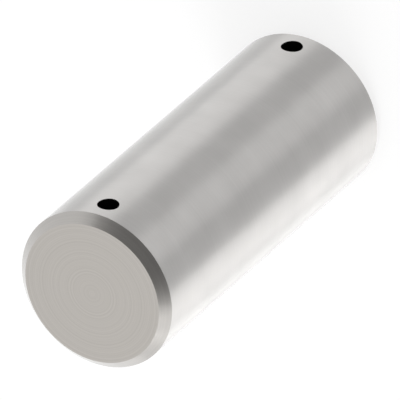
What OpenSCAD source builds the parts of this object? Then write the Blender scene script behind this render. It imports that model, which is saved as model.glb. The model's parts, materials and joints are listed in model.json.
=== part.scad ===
// Actuator pin: a plain round steel pin with no head. It joins the eye of an actuator to the fork that it
// pushes, and a split pin through each end keeps it there. It stands on one end face, with its axis along Z.

/* [Shank] */
// Diameter of the shank, which turns in the actuator's eye
shank_d = 25.4; // [16:0.1:50]
// Length of the pin, from end face to end face
pin_l = 63.5; // [30:0.5:200]

/* [End chamfers] */
// Leg of the 45 degree chamfer round each end, which leads the pin into its bores
chamfer = 1.4; // [0.3:0.1:3]

/* [Split pin holes] */
// Diameter of the hole drilled across the pin near each end
hole_d = 3.3; // [1.5:0.1:5]
// Distance from an end face to the middle of the hole near it
hole_inset = 4.76; // [4:0.01:14]

/* [Hidden] */
$fn = 128;

// How far the drill starts above the shank and runs out below it
drill_over = 1;
steel_colour = [0.72, 0.71, 0.69];

shank_r = shank_d / 2;
// Radius of the flat face that the chamfer leaves on each end
face_r = shank_r - chamfer;
// Heights of the two holes above the bottom face
hole_heights = [hole_inset, pin_l - hole_inset];

// The pin as it leaves the lathe: half of its section, from the axis out, turned once round
module turned_blank() {
    rotate_extrude()
        polygon([
            [0, 0],
            [face_r, 0],
            [shank_r, chamfer],
            [shank_r, pin_l - chamfer],
            [face_r, pin_l],
            [0, pin_l],
        ]);
}

// A hole drilled along X, square through the pin's axis
module split_pin_hole(height) {
    translate([0, 0, height])
        rotate([0, 90, 0])
            cylinder(d = hole_d, h = shank_d + 2 * drill_over, center = true);
}

module pin() {
    color(steel_colour)
        difference() {
            turned_blank();
            for (height = hole_heights)
                split_pin_hole(height);
        }
}

pin();
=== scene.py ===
# Actuator pin: the finishes of its ground shank, turned ends and drilled holes, in a small white studio.
# All places are in metres in the pin's own frame: it stands on one end face, with its axis along Z.
import json
import math
import bpy
from mathutils import Matrix, Vector


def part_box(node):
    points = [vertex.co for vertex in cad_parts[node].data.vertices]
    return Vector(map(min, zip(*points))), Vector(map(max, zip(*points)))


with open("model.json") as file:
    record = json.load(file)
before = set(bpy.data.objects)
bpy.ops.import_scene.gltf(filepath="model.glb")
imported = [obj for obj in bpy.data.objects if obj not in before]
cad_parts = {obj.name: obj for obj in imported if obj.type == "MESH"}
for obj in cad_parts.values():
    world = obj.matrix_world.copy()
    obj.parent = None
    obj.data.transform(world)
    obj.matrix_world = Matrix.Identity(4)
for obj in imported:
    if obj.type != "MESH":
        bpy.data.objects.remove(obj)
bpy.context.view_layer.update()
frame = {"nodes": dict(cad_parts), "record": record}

# Camera
# It looks down on the near end face from far off with a long lens, so the two long edges of the pin stay
# parallel in the picture. It is rolled until the pin points down to the left.
mm = 0.001
pin_low, pin_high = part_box("pin")
pin_middle = (pin_low + pin_high) / 2

# From straight above, the camera is turned by this angle round the holes' direction, and then by as much
# round the picture's level line. That leaves the holes' direction upright in the picture.
view_turn = math.radians(30)
turn_cos = math.cos(view_turn)
turn_sin = math.sin(view_turn)
picture_right = Vector((0, -turn_cos, -turn_sin))
picture_up = Vector((turn_cos, turn_sin ** 2, -turn_sin * turn_cos))
toward_camera = picture_right.cross(picture_up)

# The picture is this wide at the pin, and is aimed a little above the pin's middle.
picture_width = 58.93 * mm
aim_lift = 0.22 * mm
camera_data = bpy.data.cameras.new("camera")
camera_data.lens = 1600
camera_data.sensor_width = 36
camera_data.clip_end = 10
camera = bpy.data.objects.new("camera", camera_data)
camera_distance = picture_width * camera_data.lens / camera_data.sensor_width
aim = pin_middle + Vector((0, 0, aim_lift))
camera_axes = Matrix((picture_right, picture_up, toward_camera)).transposed()
camera.matrix_world = Matrix.Translation(aim + toward_camera * camera_distance) @ camera_axes.to_4x4()
bpy.context.scene.collection.objects.link(camera)
bpy.context.scene.camera = camera

# Ground shank
# The bar is plain carbon steel, ground round between the wheels of a grinder to a running fit. The wheel
# leaves fine lines round the bar, so that light smears along the axis and stays in sharp bands round it.
def linear(hex_colour):
    """An sRGB hex colour as linear red, green, blue and alpha."""
    channels = [int(hex_colour[i:i + 2], 16) / 255 for i in (1, 3, 5)]
    return [c / 12.92 if c <= 0.04045 else ((c + 0.055) / 1.055) ** 2.4 for c in channels] + [1]


def add_node(material, kind, inputs, **settings):
    """Adds a node with its settings. An input is a value, or the output of another node to link."""
    made = material.node_tree.nodes.new(kind)
    for name, value in settings.items():
        setattr(made, name, value)
    for name, value in inputs.items():
        if isinstance(value, bpy.types.NodeSocket):
            material.node_tree.links.new(value, made.inputs[name])
        else:
            made.inputs[name].default_value = value
    return made


def new_material(name):
    """A node material with no node in it yet."""
    material = bpy.data.materials.new(name)
    material.use_nodes = True
    material.node_tree.nodes.clear()
    return material


def faces_outward(material, place, rise):
    """The way that a turned surface truly faces: away from the axis, and up by rise for each one it goes out.

    The solid's mesh has flat facets and a seam, which would break the bands of light that steel mirrors.
    """
    level = add_node(material, "ShaderNodeVectorMath", {0: place, 1: (1, 1, 0)}, operation="MULTIPLY")
    outward = add_node(material, "ShaderNodeVectorMath", {0: level.outputs[0]}, operation="NORMALIZE")
    risen = add_node(material, "ShaderNodeCombineXYZ", {"Z": rise})
    sloped = add_node(material, "ShaderNodeVectorMath", {
        0: outward.outputs[0],
        1: risen.outputs[0],
    }, operation="ADD")
    return add_node(material, "ShaderNodeVectorTransform", {
        "Vector": sloped.outputs[0],
    }, vector_type="NORMAL", convert_from="OBJECT", convert_to="WORLD").outputs[0]


ground_steel = new_material("ground_carbon_steel")
place = add_node(ground_steel, "ShaderNodeTexCoord", {}).outputs["Object"]
# A grinding line is about 0.02 mm wide. Drawn at 0.22 mm, it is just wide enough to show.
line_width = 0.22 * mm
line_length = 14 * mm
along_lines = add_node(ground_steel, "ShaderNodeMapping", {
    "Vector": place,
    "Scale": (1 / line_length, 1 / line_length, 1 / line_width),
}, vector_type="POINT")
lines = add_node(ground_steel, "ShaderNodeTexNoise", {
    "Vector": along_lines.outputs[0],
    "Scale": 1,
    "Detail": 3,
    "Roughness": 0.6,
})
# The wheel's pressure drifts a little as it passes over the bar, which shows as faint soft patches.
patch_width = 5 * mm
patches = add_node(ground_steel, "ShaderNodeTexNoise", {
    "Vector": place,
    "Scale": 1 / patch_width,
    "Detail": 1,
})
pattern = add_node(ground_steel, "ShaderNodeMix", {
    "Factor": 0.5,
    "A": lines.outputs["Fac"],
    "B": patches.outputs["Fac"],
}, data_type="FLOAT")
colour = add_node(ground_steel, "ShaderNodeMix", {
    "Factor": pattern.outputs["Result"],
    "A": linear("#B6B4B2"),
    "B": linear("#D2D0CE"),
}, data_type="RGBA")
# The noise that draws the marks of the tools stays mostly between these two values.
noise_spread = {"From Min": 0.3, "From Max": 0.7}
roughness = add_node(ground_steel, "ShaderNodeMapRange", {
    "Value": lines.outputs["Fac"],
    **noise_spread,
    "To Min": 0.51,
    "To Max": 0.55,
})
round_bar = faces_outward(ground_steel, place, 0)
line_depth = 0.0015 * mm
scored = add_node(ground_steel, "ShaderNodeBump", {
    "Height": lines.outputs["Fac"],
    "Distance": line_depth,
    "Normal": round_bar,
})
lay = add_node(ground_steel, "ShaderNodeTangent", {}, direction_type="RADIAL", axis="Z")
# A thin film of oil keeps the bar from rusting. It brightens the steel where it is seen at a low angle, so
# that the shank grows lighter towards its two long edges.
oil_film = {"Coat Weight": 1, "Coat Roughness": 0.1, "Coat IOR": 1.5}
shader = add_node(ground_steel, "ShaderNodeBsdfPrincipled", {
    "Base Color": colour.outputs["Result"],
    "Metallic": 1,
    "Roughness": roughness.outputs[0],
    "Anisotropic": 1,
    "Anisotropic Rotation": 0.25,
    "Tangent": lay.outputs[0],
    "Normal": scored.outputs[0],
    "Coat Normal": round_bar,
    **oil_film,
})
add_node(ground_steel, "ShaderNodeOutputMaterial", {"Surface": shader.outputs[0]})

# Turned ends
# Each end face is cut in the lathe after the bar is ground, and wiped dry. The tool leaves fine rings round
# the axis and a satin surface, greyer than the ground shank and the same whichever way it is turned.
turned_steel = new_material("turned_carbon_steel")
place = add_node(turned_steel, "ShaderNodeTexCoord", {}).outputs["Object"]
across = add_node(turned_steel, "ShaderNodeVectorMath", {0: place, 1: (1, 1, 0)}, operation="MULTIPLY")
radius = add_node(turned_steel, "ShaderNodeVectorMath", {0: across.outputs[0]}, operation="LENGTH")
# The tool moves on by 0.08 mm a turn. Drawn at 0.25 mm, its rings are just wide enough to show.
feed = 0.25 * mm
turns = add_node(turned_steel, "ShaderNodeMath", {
    0: radius.outputs["Value"],
    1: 1 / feed,
}, operation="MULTIPLY")
tool_rings = add_node(turned_steel, "ShaderNodeTexNoise", {
    "W": turns.outputs[0],
    "Scale": 1,
    "Detail": 2,
}, noise_dimensions="1D")
colour = add_node(turned_steel, "ShaderNodeMix", {
    "Factor": tool_rings.outputs["Fac"],
    "A": linear("#ABA7A2"),
    "B": linear("#BCB8B3"),
}, data_type="RGBA")
roughness = add_node(turned_steel, "ShaderNodeMapRange", {
    "Value": tool_rings.outputs["Fac"],
    **noise_spread,
    "To Min": 0.29,
    "To Max": 0.31,
})
ring_depth = 0.0015 * mm
grooved = add_node(turned_steel, "ShaderNodeBump", {
    "Height": tool_rings.outputs["Fac"],
    "Distance": ring_depth,
})
shader = add_node(turned_steel, "ShaderNodeBsdfPrincipled", {
    "Base Color": colour.outputs["Result"],
    "Metallic": 1,
    "Roughness": roughness.outputs[0],
    "Normal": grooved.outputs[0],
})
add_node(turned_steel, "ShaderNodeOutputMaterial", {"Surface": shader.outputs[0]})

# Chamfers
# The 45 degree chamfer round each end is cut in one short pass with the side of the tool. It is as grey as
# the face, but it keeps the oil of the shank, and its slope catches quite another part of the room.
chamfer_steel = new_material("oiled_turned_chamfer")
place = add_node(chamfer_steel, "ShaderNodeTexCoord", {}).outputs["Object"]
height = add_node(chamfer_steel, "ShaderNodeSeparateXYZ", {0: place})
# The tool's chatter is too fine to show. Drawn at 0.3 mm, it leaves about five faint rings round the slope.
chatter = 0.3 * mm
waves = add_node(chamfer_steel, "ShaderNodeMath", {
    0: height.outputs["Z"],
    1: 1 / chatter,
}, operation="MULTIPLY")
chatter_rings = add_node(chamfer_steel, "ShaderNodeTexNoise", {
    "W": waves.outputs[0],
    "Scale": 1,
    "Detail": 2,
}, noise_dimensions="1D")
colour = add_node(chamfer_steel, "ShaderNodeMix", {
    "Factor": chatter_rings.outputs["Fac"],
    "A": linear("#ABA8A5"),
    "B": linear("#B5B2AE"),
}, data_type="RGBA")
roughness = add_node(chamfer_steel, "ShaderNodeMapRange", {
    "Value": chatter_rings.outputs["Fac"],
    **noise_spread,
    "To Min": 0.29,
    "To Max": 0.31,
})
from_middle = add_node(chamfer_steel, "ShaderNodeMath", {
    0: height.outputs["Z"],
    1: pin_middle.z,
}, operation="SUBTRACT")
up_or_down = add_node(chamfer_steel, "ShaderNodeMath", {0: from_middle.outputs[0]}, operation="SIGN")
cone = faces_outward(chamfer_steel, place, up_or_down.outputs[0])
chatter_depth = 0.001 * mm
rippled = add_node(chamfer_steel, "ShaderNodeBump", {
    "Height": chatter_rings.outputs["Fac"],
    "Distance": chatter_depth,
    "Normal": cone,
})
shader = add_node(chamfer_steel, "ShaderNodeBsdfPrincipled", {
    "Base Color": colour.outputs["Result"],
    "Metallic": 1,
    "Roughness": roughness.outputs[0],
    "Normal": rippled.outputs[0],
    "Coat Normal": cone,
    **oil_film,
})
add_node(chamfer_steel, "ShaderNodeOutputMaterial", {"Surface": shader.outputs[0]})

# Drilled holes
# Each cross hole is drilled last, straight through both walls. Its wall keeps the drill's spiral marks. Its
# near-black colour is painted shade for the inside of the narrow hole, so that next to the bright shank the
# hole looks black.
painted_shade_hole_wall = new_material("hole_wall_painted_shade")
place = add_node(painted_shade_hole_wall, "ShaderNodeTexCoord", {}).outputs["Object"]
# The drill moves on by about 0.1 mm a turn. Its marks are drawn twice as wide, so that they show.
mark_width = 0.2 * mm
mark_length = 3 * mm
along_marks = add_node(painted_shade_hole_wall, "ShaderNodeMapping", {
    "Vector": place,
    "Scale": (1 / mark_width, 1 / mark_length, 1 / mark_length),
}, vector_type="POINT")
marks = add_node(painted_shade_hole_wall, "ShaderNodeTexNoise", {"Vector": along_marks.outputs[0], "Scale": 1})
# Painted shade: both colours are near black for the shade inside the hole, not a colour that the steel has.
colour = add_node(painted_shade_hole_wall, "ShaderNodeMix", {
    "Factor": marks.outputs["Fac"],
    "A": linear("#0E0D0C"),
    "B": linear("#1C1A18"),
}, data_type="RGBA")
roughness = add_node(painted_shade_hole_wall, "ShaderNodeMapRange", {
    "Value": marks.outputs["Fac"],
    **noise_spread,
    "To Min": 0.5,
    "To Max": 0.7,
})
mark_depth = 0.005 * mm
torn = add_node(painted_shade_hole_wall, "ShaderNodeBump", {"Height": marks.outputs["Fac"], "Distance": mark_depth})
shader = add_node(painted_shade_hole_wall, "ShaderNodeBsdfPrincipled", {
    "Base Color": colour.outputs["Result"],
    "Metallic": 1,
    "Roughness": roughness.outputs[0],
    "Normal": torn.outputs[0],
})
add_node(painted_shade_hole_wall, "ShaderNodeOutputMaterial", {"Surface": shader.outputs[0]})

# Faces and their finishes
# The finishes share the pin's one solid, so each face takes the finish of the tool that cut it: the drill in
# the two holes, the lathe on the ends and their chamfers, and the grinder on all the rest.
pin = frame["nodes"]["pin"]
pin.data.materials.clear()
finishes = [ground_steel, turned_steel, chamfer_steel, painted_shade_hole_wall]
for material in finishes:
    pin.data.materials.append(material)
shank_radius = pin_high.x
holes = [m for m in frame["record"]["mounts"] if m["kind"] == "bore"]
# The middle of each face of a hole's wall lies within the hole's radius of its axis, here with a little
# slack, and well inside the shank's surface.
wall_slack = 1.05
wall_reach = 0.95 * shank_radius


def in_a_hole(face):
    """Whether a face lies on the wall of a cross hole, inside the shank's own surface."""
    for hole in holes:
        from_axis = math.hypot(face.center.y, face.center.z - hole["pos_m"][2])
        hole_radius = hole["dims"]["r_mm"] * mm
        if from_axis < wall_slack * hole_radius and abs(face.center.x) < wall_reach:
            return True
    return False


# The upward share of a face's direction is 1 on an end, about 0.7 on a chamfer and 0 on the shank.
least_on_an_end = 0.9
least_on_a_chamfer = 0.3
for face in pin.data.polygons:
    steepness = abs(face.normal.z)
    if in_a_hole(face):
        finish = painted_shade_hole_wall
    elif steepness > least_on_an_end:
        finish = turned_steel
    elif steepness > least_on_a_chamfer:
        finish = chamfer_steel
    else:
        finish = ground_steel
    face.material_index = finishes.index(finish)

# Paper floor
# White seamless paper, much wider than the picture. It glows a little to the camera and to the steel, so that
# it is white in the picture and the pin's soft shadow on it stays light.
white_paper = new_material("white_paper")
paper_glow = 0.75
sight = add_node(white_paper, "ShaderNodeLightPath", {})
seen_by_camera_or_steel = add_node(white_paper, "ShaderNodeMath", {
    0: sight.outputs["Is Camera Ray"],
    1: sight.outputs["Is Glossy Ray"],
}, operation="MAXIMUM")
seen = add_node(white_paper, "ShaderNodeMath", {
    0: seen_by_camera_or_steel.outputs[0],
    1: sight.outputs["Is Transmission Ray"],
}, operation="MAXIMUM")
glow_share = add_node(white_paper, "ShaderNodeMath", {
    0: seen.outputs[0],
    1: paper_glow,
}, operation="MULTIPLY")
matt_paper = add_node(white_paper, "ShaderNodeBsdfDiffuse", {"Color": linear("#FAFAFA")})
glow = add_node(white_paper, "ShaderNodeEmission", {"Color": (1, 1, 1, 1), "Strength": 1})
shader = add_node(white_paper, "ShaderNodeMixShader", {
    0: glow_share.outputs[0],
    1: matt_paper.outputs[0],
    2: glow.outputs[0],
})
add_node(white_paper, "ShaderNodeOutputMaterial", {"Surface": shader.outputs[0]})
paper_reach = 3
paper_mesh = bpy.data.meshes.new("paper")
corners = [(x * paper_reach, y * paper_reach, 0) for x, y in ((-1, -1), (1, -1), (1, 1), (-1, 1))]
paper_mesh.from_pydata(corners, [], [(0, 1, 2, 3)])
paper_mesh.materials.append(white_paper)
paper = bpy.data.objects.new("paper", paper_mesh)
bpy.context.scene.collection.objects.link(paper)

# Studio light
# A white tent all round gives the plain level. Soft boxes stand round the pin, most of them low, and each
# makes one bright band along the shank. Places are degrees round from +X and up from the pin's middle.
tent = bpy.data.worlds.new("white_tent")
tent.use_nodes = True
tent_cloth = tent.node_tree.nodes["Background"].inputs
tent_cloth["Color"].default_value = (1, 1, 1, 1)
tent_cloth["Strength"].default_value = 1
bpy.context.scene.world = tent
stand_distance = 0.8


def direction(azimuth, elevation):
    """A unit vector, from degrees round from +X and up from level."""
    a, e = math.radians(azimuth), math.radians(elevation)
    return Vector((math.cos(a) * math.cos(e), math.sin(a) * math.cos(e), math.sin(e)))


def soft_box(name, azimuths, elevations, radiance):
    """A flat panel of light that faces the pin and fills those angles as the pin sees it."""
    middle = direction(sum(azimuths) / 2, sum(elevations) / 2)
    half_width = math.radians(azimuths[1] - azimuths[0]) / 2
    half_height = math.radians(elevations[1] - elevations[0]) / 2
    lamp = bpy.data.lights.new(name, "AREA")
    lamp.shape = "RECTANGLE"
    lamp.size = 2 * stand_distance * math.tan(half_width) * math.hypot(middle.x, middle.y)
    lamp.size_y = 2 * stand_distance * math.tan(half_height)
    # A matt panel of that radiance sends out pi times as much power from each square metre.
    lamp.energy = math.pi * radiance * lamp.size * lamp.size_y
    box = bpy.data.objects.new(name, lamp)
    box.location = pin_middle + middle * stand_distance
    box.rotation_euler = middle.to_track_quat("Z", "Y").to_euler()
    bpy.context.scene.collection.objects.link(box)


# The first two overlap, so that the light grows towards the long edge at the upper left.
soft_box("behind", (118, 178), (0, 16), 3.1)
soft_box("upper_left_edge", (111, 130), (0, 14), 1.7)
soft_box("high_left", (183, 218), (18, 76), 3.2)
soft_box("left", (227, 260), (1, 18), 5.4)
soft_box("beside_camera", (-62, -28), (0, 12), 3.0)
soft_box("right", (6, 47), (0, 12), 4.7)

# Black card
# A long black card curves round the pin at a middle height, on the camera's side and on round to the right.
# It gives the chamfer its dark half, and the shank the greyer stretch between its bands. The camera looks
# through it.
black_card = new_material("black_card")
shader = add_node(black_card, "ShaderNodeBsdfDiffuse", {"Color": linear("#151515")})
add_node(black_card, "ShaderNodeOutputMaterial", {"Surface": shader.outputs[0]})
# Each end gives its place round the pin, then the card's lower and upper edge there, in degrees.
left_end = Vector((-148, 30, 56))
right_end = Vector((101, 33, 49))
card_steps = 24
card_points = []
for step in range(card_steps + 1):
    azimuth, low_edge, high_edge = left_end.lerp(right_end, step / card_steps)
    for elevation in (low_edge, high_edge):
        card_points.append(pin_middle + direction(azimuth, elevation) * stand_distance)
card_faces = [(2 * i, 2 * i + 2, 2 * i + 3, 2 * i + 1) for i in range(card_steps)]
card_mesh = bpy.data.meshes.new("card")
card_mesh.from_pydata(card_points, [], card_faces)
card_mesh.materials.append(black_card)
card = bpy.data.objects.new("card", card_mesh)
card.visible_camera = False
bpy.context.scene.collection.objects.link(card)

bpy.context.scene.view_settings.view_transform = "Standard"
